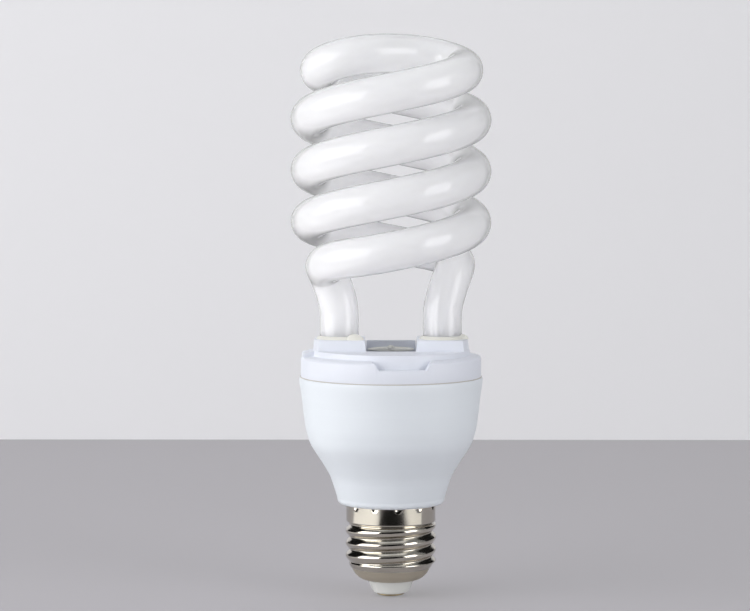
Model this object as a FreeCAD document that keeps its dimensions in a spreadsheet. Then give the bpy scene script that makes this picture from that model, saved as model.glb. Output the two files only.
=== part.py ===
import FreeCAD, Part
import math
import os
import Sketcher

# Spiral energy saving bulb, standing on the contact of its E27 cap.
# The axis of the bulb is Z, and the origin is the lower face of the centre contact.

DIMS = {
    # glass tube
    "tube_r": 5.7,
    "coil_r": 23.5,
    "coil_pitch": 29.8,
    "coil_mid_z": 124.2,
    "crossover_top_z": 158.1,
    "lobe_r": 20.9,
    "lobe_z": 153.3,
    "lobe_forward": 5.5,
    "crossing_turn": 30.0,
    "crossing_reach": 15.5,
    "lobe_reach": 6.7,
    "lobe_slope": 0.2,
    "leg_x": 15.0,
    "leg_top_z": 82.0,
    "leg_bottom_z": 64.0,
    "shoulder_x": 18.9,
    "shoulder_y": 5.5,
    "shoulder_z": 96.0,
    # upper cover
    "seam_z": 63.5,
    "cover_r": 26.3,
    "ring_edge_z": 68.6,
    "ring_crown_r": 25.9,
    "ring_crown_z": 69.1,
    "step_r": 23.2,
    "step_base_z": 69.8,
    "plate_r": 22.9,
    "plate_z": 72.2,
    "ceiling_z": 69.3,
    "ceiling_r": 21.4,
    "ring_inner_r": 22.2,
    "ledge_z": 65.2,
    "skirt_inner_r": 22.9,
    "skirt_outer_r": 24.4,
    "fit_gap": 0.1,
    "collar_z": 75.3,
    "collar_base_r": 22.85,
    "collar_inner_x": 7.2,
    "collar_half_y": 8.8,
    "bore_r": 6.1,
    "notch_turn": 7.6,
    "notch_floor_z": 67.1,
    "notch_floor_half": 6.8,
    "notch_top_half": 8.6,
    "lug_inner_r": 22.6,
    "lug_outer_r": 25.8,
    "lug_z": 71.9,
    "lug_outer_z": 70.9,
    "recess_depth": 1.3,
    # lower housing
    "rim_r": 26.7,
    "rim_step_z": 62.4,
    "wall": 1.6,
    "bowl_r": 25.7,
    "bowl_z": 54.6,
    "belly_r": 25.0,
    "belly_z": 49.3,
    "turn_r": 23.75,
    "turn_z": 44.7,
    "cone_r": 20.4,
    "cone_z": 39.6,
    "waist_r": 17.8,
    "waist_z": 35.3,
    "throat_r": 16.7,
    "throat_z": 32.0,
    "foot_r": 15.75,
    "foot_z": 28.9,
    "foot_round": 1.4,
    "bowl_round": 12.0,
    "foot_flat_z": 27.0,
    "neck_fit_r": 12.75,
    "neck_fit_z": 22.3,
    "neck_r": 11.4,
    "neck_inner_r": 10.0,
    "neck_end_z": 12.0,
    "rib_inner_r": 21.6,
    "rib_outer_r": 24.8,
    "rib_half": 0.7,
    "rib_low_z": 50.0,
    # screw cap
    "skirt_r": 13.05,
    "skirt_low_z": 22.0,
    "sheet": 0.3,
    "thread_root_r": 12.14,
    "thread_crest_r": 13.1,
    "thread_pitch": 3.629,
    "thread_round": 1.025,
    "thread_top_z": 21.3,
    "thread_low_z": 8.9,
    "thread_start_z": 6.25,
    "cone_top_r": 11.2,
    "cone_top_z": 8.0,
    "cone_mid_r": 10.4,
    "cone_mid_z": 6.2,
    "cone_low_r": 8.6,
    "cone_low_z": 4.7,
    "mouth_r": 6.8,
    "mouth_z": 4.5,
    "insulator_low_r": 5.26,
    "insulator_low_z": 1.0,
    "insulator_face_r": 4.3,
    "insulator_face_z": 0.6,
    "insulator_top_z": 7.6,
    "insulator_top_r": 9.9,
    "wire_hole_r": 0.9,
    "contact_r": 4.0,
    "contact_flat_r": 3.2,
    # circuit board
    "board_r": 23.5,
    "board_low_z": 59.5,
    "board_top_z": 61.1,
    "lug_turn": 5.0,
    "lug_width": 8.4,
    "collar_lean": -7.0,
    "thread_length": 14.2,
    "pin_side": 1.0,
    "pin_length": 5.0,
    "pin_x": 13.0,
    "pin_y": 8.5,
    # main inductor
    "choke_x": -10.0,
    "choke_thick": 5.0,
    "choke_wide": 16.0,
    "choke_high": 14.0,
    "choke_leg": 5.0,
    "choke_yoke": 2.5,
    "window_wide": 3.0,
    "window_y": 4.0,
    "window_high": 9.0,
    "bobbin_long": 11.0,
    "cheek": 0.8,
    "barrel_walls": 1.2,
    "coil_corner": 1.6,
    # ring transformer
    "toroid_x": 9.2,
    "toroid_y": 9.4,
    "toroid_r": 5.0,
    "toroid_hole_r": 2.5,
    "toroid_high": 4.0,
    "toroid_wire": 0.6,
    # transistors
    "transistor_x": 13.2,
    "case_wide": 8.0,
    "case_thick": 3.0,
    "case_high": 11.0,
    "lead_high": 3.5,
    "lead_wide": 0.7,
    "lead_thick": 0.5,
    "lead_step": 2.3,
    # smoothing capacitor
    "can_r": 5.0,
    "can_x": 2.6,
    "can_high": 20.0,
    "can_low_z": 24.5,
    "can_lead_y": 2.5,
    "can_lead_r": 0.3,
    "can_round": 0.7,
    # diodes and fuse
    "diode_r": 1.3,
    "diode_long": 5.0,
    "diode_x": 6.4,
    "diode_y": -3.6,
    "diode_step": 3.0,
    "diac_r": 0.95,
    "diac_long": 3.8,
    "resistor_r": 1.15,
    "resistor_long": 6.0,
    "fine_wire_r": 0.3,
    "fine_wire_reach": 1.1,
    "fine_wire_bend": 0.5,
    "fuse_r": 1.8,
    "fuse_long": 9.0,
    "fuse_low_z": 20.0,
    "fuse_x": -5.2,
    "fuse_y": -4.6,
    "fuse_board_x": -2.6,
    "fuse_board_y": -9.2,
    "fuse_wire_r": 0.35,
    # leads
    "tube_lead_r": 0.25,
    "tube_lead_apart": 1.6,
    "tube_lead_drop": 1.6,
    "tube_lead_bend": 0.8,
    "live_r": 0.6,
    "neutral_r": 0.5,
    "neutral_x": -2.0,
    "neutral_top_y": 9.4,
    "neutral_low_y": 8.6,
    "neutral_low_z": 10.6,
    "bend_r": 1.5,
    "contact_gap": 0.02,
    "pin_gap": 0.08,
}

doc = FreeCAD.newDocument("spiral_bulb")
sheet = doc.addObject("Spreadsheet::Sheet", "dims")
for row, (alias, number) in enumerate(DIMS.items(), start=1):
    sheet.set("A%d" % row, alias)
    sheet.set("B%d" % row, str(number))
    sheet.setAlias("B%d" % row, alias)
doc.recompute()

# Every finished sub-part is kept here under its node's name.
parts = {}


def value(formula):
    """Adds up a formula of names from the sheet and plain numbers, such as 'cover_r - wall'."""
    total = 0.0
    sign = 1.0
    for word in str(formula).split():
        if word in "+-":
            sign = 1.0 if word == "+" else -1.0
        else:
            total += sign * (DIMS[word] if word in DIMS else float(word))
    return total


def bound(formula):
    """The same formula as an expression on the sheet."""
    words = []
    for word in str(formula).split():
        words.append("dims." + word if word in DIMS else word)
    return " ".join(words)


def vec(x, y, z):
    return FreeCAD.Vector(value(x), value(y), value(z))


def new_body(label):
    body = doc.addObject("PartDesign::Body", label)
    body.Label = label
    parts[label] = body
    return body


def new_sketch(body, name, role):
    """An empty sketch on one of the body's own origin planes."""
    sketch = body.newObject("Sketcher::SketchObject", name)
    plane = [item for item in body.Origin.OriginFeatures if item.Role == role][0]
    sketch.AttachmentSupport = [(plane, "")]
    sketch.MapMode = "FlatFace"
    return sketch


def closed_outline(sketch, corners):
    """Straight lines through corners, each corner held to the sheet by its two distances."""
    points = [FreeCAD.Vector(value(x), value(y), 0) for x, y in corners]
    count = len(points)
    for index in range(count):
        sketch.addGeometry(Part.LineSegment(points[index], points[(index + 1) % count]), False)
    for index in range(count):
        sketch.addConstraint(
            Sketcher.Constraint("Coincident", index, 2, (index + 1) % count, 1)
        )
    for index, (x, y) in enumerate(corners):
        hold(sketch, "DistanceX", index, x)
        hold(sketch, "DistanceY", index, y)


def hold(sketch, kind, geometry, formula):
    """Sets one distance of a line's start from the sketch's origin."""
    if abs(value(formula)) < 1e-9:
        axis = -2 if kind == "DistanceX" else -1
        sketch.addConstraint(Sketcher.Constraint("PointOnObject", geometry, 1, axis))
        return
    number = sketch.addConstraint(
        Sketcher.Constraint(kind, -1, 1, geometry, 1, value(formula))
    )
    sketch.setExpression("Constraints[%d]" % number, bound(formula))


def turned(body, name, corners):
    """A full turn of an outline of radii and heights about the bulb's axis."""
    sketch = new_sketch(body, name + "_outline", "XZ_Plane")
    closed_outline(sketch, corners)
    turn = body.newObject("PartDesign::Revolution", name)
    turn.Profile = sketch
    turn.ReferenceAxis = (sketch, ["V_Axis"])
    turn.Angle = 360.0
    doc.recompute()
    return turn


def extruded(body, kind, name, corners, low_z, length):
    """A pad or pocket of an outline in plan that starts at height low_z and goes up."""
    sketch = new_sketch(body, name + "_outline", "XY_Plane")
    sketch.AttachmentOffset = FreeCAD.Placement(vec(0, 0, low_z), FreeCAD.Rotation())
    sketch.setExpression("AttachmentOffset.Base.z", bound(low_z))
    closed_outline(sketch, corners)
    feature = body.newObject(kind, name)
    feature.Profile = sketch
    feature.Length = value(length)
    feature.setExpression("Length", bound(length))
    if kind == "PartDesign::Pocket":
        feature.Reversed = True
    doc.recompute()
    return feature


def repeated(body, name, feature, count):
    """Copies a feature evenly round the axis."""
    pattern = body.newObject("PartDesign::PolarPattern", name)
    pattern.Originals = [feature]
    axis = [item for item in body.Origin.OriginFeatures if item.Role == "Z_Axis"][0]
    pattern.Axis = (axis, [""])
    pattern.Angle = 360.0
    pattern.Occurrences = count
    body.Tip = pattern
    doc.recompute()
    return pattern


def rounded(body, name, radius, wanted):
    """Fillets the edges of the body's tip that are circles of the wanted radii and heights."""
    tip = body.Tip
    names = []
    for index, edge in enumerate(tip.Shape.Edges, start=1):
        if not isinstance(edge.Curve, Part.Circle):
            continue
        ring = FreeCAD.Vector(edge.Curve.Radius, 0, edge.Curve.Center.z)
        for ring_r, ring_z in wanted:
            if ring.distanceToPoint(vec(ring_r, 0, ring_z)) < 0.02:
                names.append("Edge%d" % index)
    fillet = body.newObject("PartDesign::Fillet", name)
    fillet.Base = (tip, names)
    fillet.Radius = value(radius)
    fillet.setExpression("Radius", bound(radius))
    body.Tip = fillet
    doc.recompute()
    return fillet


def fixed_shape(label, shape):
    """A sub-part whose form is set by its own function below."""
    feature = doc.addObject("Part::Feature", label)
    feature.Label = label
    feature.Shape = shape
    parts[label] = feature
    return feature


# Lower housing: a moulded cup with a neck that the screw shell is pressed on.

def lower_housing():
    body = new_body("lower_housing")
    turned(
        body,
        "housing_shell",
        [
            ("neck_inner_r", "neck_end_z"),
            ("neck_r", "neck_end_z"),
            ("neck_r", "neck_fit_z - 0.9"),
            ("neck_fit_r", "neck_fit_z"),
            ("neck_fit_r", "foot_flat_z"),
            ("foot_r - 0.25", "foot_flat_z"),
            ("foot_r", "foot_z"),
            ("throat_r", "throat_z"),
            ("waist_r", "waist_z"),
            ("cone_r", "cone_z"),
            ("turn_r", "turn_z"),
            ("belly_r", "belly_z"),
            ("bowl_r", "bowl_z"),
            ("rim_r - 0.3", "rim_step_z"),
            ("rim_r", "rim_step_z + 0.3"),
            ("rim_r", "seam_z"),
            ("skirt_outer_r + fit_gap", "seam_z"),
            ("skirt_outer_r + fit_gap", "board_low_z"),
            ("bowl_r - wall", "bowl_z"),
            ("belly_r - wall", "belly_z"),
            ("turn_r - wall", "turn_z + 0.6"),
            ("cone_r - wall", "cone_z + 1"),
            ("waist_r - wall", "waist_z + 0.7"),
            ("throat_r - wall", "throat_z + 0.3"),
            ("foot_r - wall", "foot_z + 0.2"),
            ("neck_inner_r", "foot_flat_z"),
        ],
    )
    rounded(body, "foot_round", "foot_round", [("foot_r - 0.25", "foot_flat_z")])
    rib = extruded(
        body,
        "PartDesign::Pad",
        "board_rib",
        [
            ("rib_inner_r", "0 - rib_half"),
            ("rib_outer_r", "0 - rib_half"),
            ("rib_outer_r", "rib_half"),
            ("rib_inner_r", "rib_half"),
        ],
        "rib_low_z",
        "board_low_z - rib_low_z",
    )
    repeated(body, "board_ribs", rib, 4)
    blends = [("turn_r", "turn_z"), ("waist_r", "waist_z"), ("belly_r", "belly_z")]
    rounded(body, "bowl_blends", "bowl_round", blends)


# Upper cover: one moulding with a notched ring, a raised plate and a collar for each leg.

def upper_cover():
    body = new_body("upper_cover")
    turned(
        body,
        "cover_ring",
        [
            ("skirt_inner_r", "board_top_z"),
            ("skirt_outer_r", "board_top_z"),
            ("skirt_outer_r", "seam_z"),
            ("cover_r", "seam_z"),
            ("cover_r", "ring_edge_z"),
            ("ring_crown_r", "ring_crown_z"),
            ("step_r - 0.5", "step_base_z"),
            ("ring_inner_r", "ledge_z"),
            ("skirt_inner_r", "ledge_z"),
        ],
    )
    notches = upright_outline(
        body,
        "notches",
        [
            ("0 - notch_floor_half", "notch_floor_z"),
            ("notch_floor_half", "notch_floor_z"),
            ("notch_top_half", "step_base_z"),
            ("notch_top_half", "plate_z"),
            ("0 - notch_top_half", "plate_z"),
            ("0 - notch_top_half", "step_base_z"),
        ],
        "notch_turn",
    )
    cut = body.newObject("PartDesign::Pocket", "notches")
    cut.Profile = notches
    cut.Type = 0
    cut.Midplane = True
    cut.Length = 2 * value("cover_r + 2")
    cut.setExpression("Length", "2 * (" + bound("cover_r + 2") + ")")
    doc.recompute()
    turned(
        body,
        "cover_plate",
        [
            ("0", "ceiling_z"),
            ("ceiling_r", "ceiling_z"),
            ("ring_inner_r", "ledge_z"),
            ("step_r", "ledge_z"),
            ("step_r", "step_base_z"),
            ("plate_r", "plate_z"),
            ("0", "plate_z"),
        ],
    )
    lug = upright_outline(
        body,
        "lug",
        [
            ("0 - lug_inner_r", "notch_floor_z - 0.6"),
            ("0 - lug_outer_r", "notch_floor_z - 0.6"),
            ("0 - lug_outer_r", "lug_outer_z - 0.8"),
            ("0 - lug_outer_r + 0.5", "lug_outer_z"),
            ("0 - plate_r - 0.2", "lug_z"),
            ("0 - lug_inner_r", "lug_z"),
        ],
        "lug_turn",
    )
    pad = body.newObject("PartDesign::Pad", "lug")
    pad.Profile = lug
    pad.Midplane = True
    pad.Length = value("lug_width")
    pad.setExpression("Length", bound("lug_width"))
    doc.recompute()
    collars(body)
    leg_bores(body)
    extruded(
        body,
        "PartDesign::Pocket",
        "recess",
        [
            ("0 - collar_inner_x", "0 - collar_half_y"),
            ("collar_inner_x", "0 - collar_half_y"),
            ("collar_inner_x", "collar_half_y"),
            ("0 - collar_inner_x", "collar_half_y"),
        ],
        "plate_z - recess_depth",
        "recess_depth + 0.5",
    )


def upright_outline(body, name, corners, turn):
    """An outline in the plane of X and Z, turned about the bulb's axis by an angle of the sheet."""
    sketch = new_sketch(body, name + "_outline", "XZ_Plane")
    upward = FreeCAD.Vector(0, 1, 0)
    sketch.AttachmentOffset = FreeCAD.Placement(
        FreeCAD.Vector(0, 0, 0), FreeCAD.Rotation(upward, value(turn))
    )
    closed_outline(sketch, corners)
    return sketch


def collars(body):
    """A collar for each leg: flat inner, front and back faces, and an outer face that leans in."""
    sketch = new_sketch(body, "collar_outline", "XY_Plane")
    low = "plate_z - 0.8"
    sketch.AttachmentOffset = FreeCAD.Placement(vec(0, 0, low), FreeCAD.Rotation())
    sketch.setExpression("AttachmentOffset.Base.z", bound(low))
    radius = value("collar_base_r")
    inner_x = value("collar_inner_x")
    half_y = value("collar_half_y")
    corner_x = math.sqrt(radius ** 2 - half_y ** 2)
    for side in (1, -1):
        front_in = FreeCAD.Vector(side * inner_x, -side * half_y, 0)
        front_out = FreeCAD.Vector(side * corner_x, -side * half_y, 0)
        back_out = FreeCAD.Vector(side * corner_x, side * half_y, 0)
        back_in = FreeCAD.Vector(side * inner_x, side * half_y, 0)
        sketch.addGeometry(Part.LineSegment(front_in, front_out), False)
        sketch.addGeometry(Part.Arc(front_out, FreeCAD.Vector(side * radius, 0, 0), back_out), False)
        sketch.addGeometry(Part.LineSegment(back_out, back_in), False)
        sketch.addGeometry(Part.LineSegment(back_in, front_in), False)
    pad = body.newObject("PartDesign::Pad", "collars")
    pad.Profile = sketch
    pad.Length = value("collar_z - plate_z + 0.8")
    pad.setExpression("Length", bound("collar_z - plate_z + 0.8"))
    pad.TaperAngle = value("collar_lean")
    pad.setExpression("TaperAngle", bound("collar_lean"))
    doc.recompute()


def leg_bores(body):
    """The two holes that the legs of the glass tube go through."""
    sketch = new_sketch(body, "bore_outline", "XY_Plane")
    low = "ceiling_z - 2"
    sketch.AttachmentOffset = FreeCAD.Placement(vec(0, 0, low), FreeCAD.Rotation())
    sketch.setExpression("AttachmentOffset.Base.z", bound(low))
    for number, side in enumerate((1, -1)):
        centre = FreeCAD.Vector(side * value("leg_x"), 0, 0)
        sketch.addGeometry(Part.Circle(centre, FreeCAD.Vector(0, 0, 1), value("bore_r")), False)
        size = sketch.addConstraint(Sketcher.Constraint("Radius", number, value("bore_r")))
        sketch.setExpression("Constraints[%d]" % size, bound("bore_r"))
        sketch.addConstraint(Sketcher.Constraint("PointOnObject", number, 3, -1))
        place = sketch.addConstraint(
            Sketcher.Constraint("DistanceX", -1, 1, number, 3, side * value("leg_x"))
        )
        sketch.setExpression("Constraints[%d]" % place, "%d * dims.leg_x" % side)
    cut = body.newObject("PartDesign::Pocket", "leg_bores")
    cut.Profile = sketch
    cut.Reversed = True
    cut.Length = value("collar_z - ceiling_z + 4")
    cut.setExpression("Length", bound("collar_z - ceiling_z + 4"))
    doc.recompute()


# Glass tube: two helical strands joined by an S-shaped crossing at the top, each ending in a leg.

def curve(*poles):
    bezier = Part.BezierCurve()
    bezier.setPoles(list(poles))
    return bezier.toShape()


def half_tube_path():
    """The centre line from the top of the crossing down one strand to the end of its leg."""
    coil_r = value("coil_r")
    pitch = value("coil_pitch")
    mid_z = value("coil_mid_z")
    lobe_r = value("lobe_r")
    lobe_z = value("lobe_z")
    top_z = value("crossover_top_z")
    leg_x = value("leg_x")
    leg_top = value("leg_top_z")
    slope = math.atan(pitch / (2 * math.pi * coil_r))
    along = math.cos(slope)
    down = math.sin(slope)
    turn = math.radians(value("crossing_turn"))
    reach = value("crossing_reach")
    lobe_y = -value("lobe_forward")
    lobe_reach = value("lobe_reach")
    lobe_slope = value("lobe_slope")
    quarter_round = 0.5523 * (lobe_r + coil_r + lobe_y) / 2
    front_z = mid_z + 0.75 * pitch
    back_z = mid_z - 0.75 * pitch
    crossing = curve(
        FreeCAD.Vector(0, 0, top_z),
        FreeCAD.Vector(reach * math.cos(turn), reach * math.sin(turn), top_z),
        FreeCAD.Vector(lobe_r, lobe_y + lobe_reach, lobe_z + lobe_slope * lobe_reach),
        FreeCAD.Vector(lobe_r, lobe_y, lobe_z),
    )
    spread = curve(
        FreeCAD.Vector(lobe_r, lobe_y, lobe_z),
        FreeCAD.Vector(lobe_r, lobe_y - quarter_round, lobe_z - lobe_slope * quarter_round),
        FreeCAD.Vector(quarter_round * along, -coil_r, front_z + quarter_round * down),
        FreeCAD.Vector(0, -coil_r, front_z),
    )
    helix = Part.makeHelix(pitch, front_z - back_z, coil_r)
    helix.Placement = FreeCAD.Placement(
        FreeCAD.Vector(0, 0, back_z), FreeCAD.Rotation(FreeCAD.Vector(0, 0, 1), 90)
    )
    shoulder = vec("shoulder_x", "shoulder_y", "shoulder_z")
    heading = FreeCAD.Vector(-0.15, -0.9, -0.4)
    heading.normalize()
    closing = curve(
        FreeCAD.Vector(0, coil_r, back_z),
        FreeCAD.Vector(coil_r / 2 * along, coil_r, back_z - coil_r / 2 * down),
        shoulder - heading * 8,
        shoulder,
    )
    bend = curve(
        shoulder,
        shoulder + heading * 6,
        FreeCAD.Vector(leg_x, 0, leg_top + 5),
        FreeCAD.Vector(leg_x, 0, leg_top),
    )
    leg = Part.makeLine(
        FreeCAD.Vector(leg_x, 0, leg_top), FreeCAD.Vector(leg_x, 0, value("leg_bottom_z"))
    )
    edges = [crossing, spread] + helix.Edges + [closing, bend, leg]
    return Part.Wire(Part.__sortEdges__(edges))


def glass_spiral():
    path = half_tube_path()
    top = FreeCAD.Vector(0, 0, value("crossover_top_z"))
    turn = math.radians(value("crossing_turn"))
    heading = FreeCAD.Vector(math.cos(turn), math.sin(turn), 0)
    section = Part.Wire(Part.makeCircle(value("tube_r"), top, heading))
    half = path.makePipeShell([section], True, True)
    other = half.copy()
    other.rotate(FreeCAD.Vector(0, 0, 0), FreeCAD.Vector(0, 0, 1), 180)
    fixed_shape("glass_spiral", half.fuse(other))


# Screw cap: a rolled metal shell, a glass insulator and the contact under it.

def screw_shell():
    body = new_body("screw_shell")
    turned(
        body,
        "shell_sheet",
        [
            ("skirt_r", "foot_flat_z"),
            ("skirt_r", "skirt_low_z"),
            ("thread_root_r", "thread_top_z"),
            ("thread_root_r", "thread_low_z"),
            ("cone_top_r", "cone_top_z"),
            ("cone_mid_r", "cone_mid_z"),
            ("cone_low_r", "cone_low_z"),
            ("mouth_r", "mouth_z"),
            ("mouth_r", "mouth_z + sheet"),
            ("cone_low_r - 0.1", "cone_low_z + sheet"),
            ("cone_mid_r - sheet", "cone_mid_z + 0.1"),
            ("cone_top_r - sheet", "cone_top_z + 0.1"),
            ("thread_root_r - sheet", "thread_low_z + 0.1"),
            ("thread_root_r - sheet", "thread_top_z - 0.1"),
            ("skirt_r - sheet", "skirt_low_z - 0.1"),
            ("skirt_r - sheet", "foot_flat_z"),
        ],
    )
    thread_ridge(body)
    run_out(body)


def thread_ridge(body):
    """The rolled thread: a section that is round at the crest, wound up the shell."""
    sketch = new_sketch(body, "thread_section", "XZ_Plane")
    round_r = value("thread_round")
    crest_r = value("thread_crest_r")
    low_z = value("thread_start_z")
    centre_r = crest_r - round_r
    reach = round_r * math.sin(math.radians(50))
    shoulder_r = centre_r + round_r * math.cos(math.radians(50))
    base_r = value("thread_root_r") - 0.15
    foot = reach + 0.45
    crest = FreeCAD.Vector(crest_r, low_z, 0)
    upper = FreeCAD.Vector(shoulder_r, low_z + reach, 0)
    lower = FreeCAD.Vector(shoulder_r, low_z - reach, 0)
    upper_foot = FreeCAD.Vector(base_r, low_z + foot, 0)
    lower_foot = FreeCAD.Vector(base_r, low_z - foot, 0)
    sketch.addGeometry(Part.Arc(lower, crest, upper), False)
    sketch.addGeometry(Part.LineSegment(upper, upper_foot), False)
    sketch.addGeometry(Part.LineSegment(upper_foot, lower_foot), False)
    sketch.addGeometry(Part.LineSegment(lower_foot, lower), False)
    helix = body.newObject("PartDesign::AdditiveHelix", "thread")
    helix.Profile = sketch
    helix.ReferenceAxis = (sketch, ["V_Axis"])
    helix.Mode = 0
    helix.Pitch = value("thread_pitch")
    helix.setExpression("Pitch", bound("thread_pitch"))
    helix.Height = value("thread_length")
    helix.setExpression("Height", bound("thread_length"))
    helix.LeftHanded = False
    doc.recompute()


def run_out(body):
    """Turns away the start of the thread, so that it fades into the cone below it."""
    sketch = new_sketch(body, "run_out_outline", "XZ_Plane")
    closed_outline(
        sketch,
        [
            ("thread_crest_r + 1", "thread_low_z + 1.6"),
            ("thread_crest_r - 0.4", "thread_low_z + 0.6"),
            ("thread_root_r - 0.1", "thread_low_z - 0.05"),
            ("thread_root_r - 0.25", "thread_low_z - 0.3"),
            ("thread_root_r - 0.25", "insulator_face_z"),
            ("thread_crest_r + 1", "insulator_face_z"),
        ],
    )
    groove = body.newObject("PartDesign::Groove", "run_out")
    groove.Profile = sketch
    groove.ReferenceAxis = (sketch, ["V_Axis"])
    groove.Angle = 360.0
    doc.recompute()


def insulator():
    body = new_body("insulator")
    turned(
        body,
        "insulator_cone",
        [
            ("wire_hole_r", "insulator_face_z"),
            ("insulator_face_r", "insulator_face_z"),
            ("insulator_low_r", "insulator_low_z"),
            ("mouth_r", "mouth_z"),
            ("mouth_r", "mouth_z + sheet"),
            ("cone_low_r - 0.1", "cone_low_z + sheet"),
            ("insulator_top_r", "cone_mid_z + 0.1"),
            ("insulator_top_r", "insulator_top_z"),
            ("wire_hole_r", "insulator_top_z"),
        ],
    )


def centre_contact():
    body = new_body("centre_contact")
    turned(
        body,
        "contact_disc",
        [
            ("0", "0"),
            ("contact_flat_r", "0"),
            ("contact_r", "0.3"),
            ("contact_r", "insulator_face_z"),
            ("0", "insulator_face_z"),
        ],
    )


# Silicone that holds each leg in its collar: a ring with a rounded top, and a lump where it ran over.

def glue_bead(label, side, lump_x, lump_y, lump_r, lump_z):
    """The lump is part of a ball; lump_z is its centre's height from the top of the collar."""
    leg_x = side * value("leg_x")
    tube_r = value("tube_r")
    bore_r = value("bore_r")
    low_z = value("ceiling_z")
    top_z = value("collar_z")
    leg_axis = FreeCAD.Vector(leg_x, 0, 0)
    corners = [
        FreeCAD.Vector(leg_x + tube_r, 0, low_z),
        FreeCAD.Vector(leg_x + bore_r, 0, low_z),
        FreeCAD.Vector(leg_x + bore_r, 0, top_z),
        FreeCAD.Vector(leg_x + bore_r + 0.7, 0, top_z),
        FreeCAD.Vector(leg_x + bore_r + 0.3, 0, top_z + 0.5),
        FreeCAD.Vector(leg_x + tube_r, 0, top_z + 0.9),
    ]
    outline = Part.makePolygon(corners + corners[:1])
    ring = Part.Face(outline).revolve(leg_axis, FreeCAD.Vector(0, 0, 1), 360)
    lump_centre = FreeCAD.Vector(lump_x, lump_y, top_z + lump_z)
    lump = Part.makeSphere(lump_r, lump_centre, FreeCAD.Vector(1, 0, 0))
    below = Part.makeBox(20, 20, 20, FreeCAD.Vector(lump_x - 10, lump_y - 10, top_z - 20))
    leg = Part.makeCylinder(tube_r, 30, FreeCAD.Vector(leg_x, 0, low_z))
    fixed_shape(label, ring.fuse(lump.cut(below).cut(leg)).removeSplitter())


# Simple solids, bound to the sheet, that the ballast's pieces are made of.

def bind_place(feature, corner):
    feature.Placement = FreeCAD.Placement(vec(*corner), FreeCAD.Rotation())
    for axis, formula in zip("xyz", corner):
        feature.setExpression("Placement.Base." + axis, bound(formula))


def block(name, sizes, centre_x, centre_y, low_z):
    """A box of three sizes, centred in plan, with its lower face at low_z."""
    feature = doc.addObject("Part::Box", name)
    for side, formula in zip(("Length", "Width", "Height"), sizes):
        setattr(feature, side, value(formula))
        feature.setExpression(side, bound(formula))
    half_long = "%g" % (value(sizes[0]) / 2)
    half_wide = "%g" % (value(sizes[1]) / 2)
    bind_place(feature, (centre_x + " - " + half_long, centre_y + " - " + half_wide, low_z))
    return feature


def rod(name, radius, length, x, y, low_z):
    """An upright round bar."""
    feature = doc.addObject("Part::Cylinder", name)
    feature.Radius = value(radius)
    feature.setExpression("Radius", bound(radius))
    feature.Height = value(length)
    feature.setExpression("Height", bound(length))
    bind_place(feature, (x, y, low_z))
    return feature


def joined(label, pieces):
    feature = doc.addObject("Part::MultiFuse", label)
    feature.Label = label
    feature.Shapes = pieces
    parts[label] = feature
    return feature


def less(name, base, tool):
    feature = doc.addObject("Part::Cut", name)
    feature.Base = base
    feature.Tool = tool
    return feature


def grouped(label, pieces):
    """Several like pieces that stay separate solids in one node."""
    feature = doc.addObject("Part::Compound", label)
    feature.Label = label
    feature.Links = pieces
    parts[label] = feature
    return feature


def finished(label, feature):
    feature.Label = label
    parts[label] = feature
    return feature


# Circuit board: a round board on the housing's ribs, with all its components below it.

def circuit_board():
    finished("circuit_board", rod("board", "board_r", "board_top_z - board_low_z", "0", "0", "board_low_z"))


def lamp_pins():
    posts = []
    sizes = ("pin_side", "pin_side", "pin_length")
    for place_x in ("pin_x", "0 - pin_x"):
        for place_y in ("pin_y", "0 - pin_y"):
            name = "post_%d" % len(posts)
            posts.append(block(name, sizes, place_x, place_y, "board_top_z"))
    grouped("lamp_pins", posts)


# Main inductor: a ferrite frame with a centre leg, a bobbin on the leg and the winding on the bobbin.

def choke():
    low = "board_low_z - choke_high"
    window_low = low + " + choke_yoke"
    window = ("choke_thick + 2", "window_wide", "window_high")
    span = "window_y + window_y + window_wide"
    cheek = ("bobbin_long", span, "cheek")
    barrel = ("choke_thick + barrel_walls", "choke_leg + barrel_walls", "window_high")
    leg = ("choke_thick", "choke_leg", "window_high")
    coil = ("bobbin_long - 1", span + " - 0.4", "window_high - cheek - cheek")
    frame = block("choke_frame", ("choke_thick", "choke_wide", "choke_high"), "choke_x", "0", low)
    windows = doc.addObject("Part::MultiFuse", "choke_windows")
    windows.Shapes = [
        block("choke_window_back", window, "choke_x", "window_y", window_low),
        block("choke_window_front", window, "choke_x", "0 - window_y", window_low),
    ]
    finished("choke_core", less("choke_core_cut", frame, windows))
    spool = doc.addObject("Part::MultiFuse", "spool")
    spool.Shapes = [
        block("cheek_low", cheek, "choke_x", "0", window_low),
        block("cheek_high", cheek, "choke_x", "0", window_low + " + window_high - cheek"),
        block("barrel", barrel, "choke_x", "0", window_low),
    ]
    leg_space = block("leg_space", leg, "choke_x", "0", window_low)
    finished("choke_bobbin", less("bobbin_cut", spool, leg_space))
    winding = block("coil_block", coil, "choke_x", "0", window_low + " + cheek")
    rounds = upright_rounds("coil_rounds", winding, value("coil_corner"))
    barrel_space = block("barrel_space", barrel, "choke_x", "0", window_low)
    finished("choke_winding", less("winding_cut", rounds, barrel_space))


def upright_rounds(name, base, radius):
    """Rounds the upright edges of a block."""
    doc.recompute()
    rounds = doc.addObject("Part::Fillet", name)
    rounds.Base = base
    upright = []
    for index, edge in enumerate(base.Shape.Edges, start=1):
        if edge.BoundBox.ZLength > 1:
            upright.append((index, radius, radius))
    rounds.Edges = upright
    return rounds


# Ring transformer: a small ferrite ring with three short windings of a few turns each.

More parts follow.
